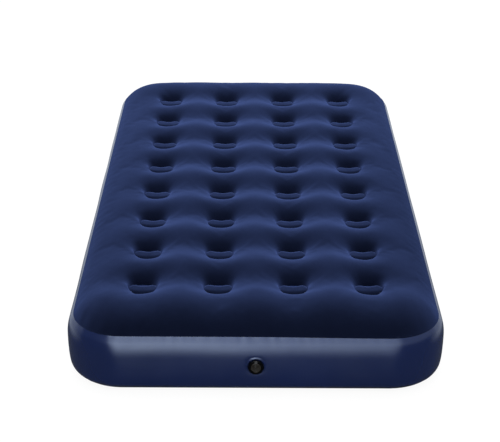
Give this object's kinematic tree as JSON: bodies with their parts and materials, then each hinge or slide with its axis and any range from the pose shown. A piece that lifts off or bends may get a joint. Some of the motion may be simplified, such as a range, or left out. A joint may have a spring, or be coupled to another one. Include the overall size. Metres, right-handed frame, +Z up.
{
  "type": "air mattress",
  "caption": "Flocked coil-beam air mattress: dimpled sleeping top, glossy side band, inner vinyl coils and a screw-in inflation valve with a flip cap.",
  "frame": {"origin": "centre of the floor face, on the ground under the middle of the bed", "axes": "+Z up; X across the bed; Y along it, with the valve in the foot end at -Y"},
  "size_m": [0.9898, 1.8895, 0.22],
  "materials": {
    "flocked_top": "matte",
    "band_vinyl": "gloss",
    "base_vinyl": "satin",
    "coil_vinyl": "satin",
    "valve_black": "satin",
    "cap_grey": "satin",
    "seal_rubber": "matte"
  },
  "bodies": {
    "envelope": {"top_sheet": "flocked_top", "side_band": "band_vinyl", "bottom_sheet": "base_vinyl", "coil_row_1": "coil_vinyl", "coil_row_2": "coil_vinyl", "coil_row_3": "coil_vinyl", "coil_row_4": "coil_vinyl", "coil_row_5": "coil_vinyl", "coil_row_6": "coil_vinyl", "coil_row_7": "coil_vinyl", "coil_row_8": "coil_vinyl", "valve_flange": "band_vinyl"},
    "washer": {"valve_gasket": "seal_rubber"},
    "screw_body": {"valve_body": "valve_black", "flap_spider": "valve_black", "leash_pin": "valve_black"},
    "flap": {"check_flap": "seal_rubber"},
    "cap": {"valve_cap": "cap_grey", "cap_seal": "seal_rubber", "cap_leash": "cap_grey"}
  },
  "joints": [
    {"name": "valve_travel", "type": "slide", "parent": "envelope", "child": "washer", "axis": [0, -1, 0], "range_m": [0, 0.0125]},
    {"name": "valve_turn", "type": "hinge", "parent": "washer", "child": "screw_body", "pos_m": [0, -0.94, 0.086], "axis": [0, -1, 0], "range_deg": [0, 900]},
    {"name": "cap_flip", "type": "hinge", "parent": "screw_body", "child": "cap", "pos_m": [0, -0.94672, 0.1032], "axis": [-1, 0, 0], "range_deg": [0, 150]},
    {"name": "flap_open", "type": "slide", "parent": "screw_body", "child": "flap", "axis": [0, 1, 0], "range_m": [0, 0.0025], "stiffness_N_per_m": 20}
  ],
  "couplings": [
    {"joint": "valve_travel", "follows": "valve_turn", "m_per_rad": 0.00079577}
  ]
}
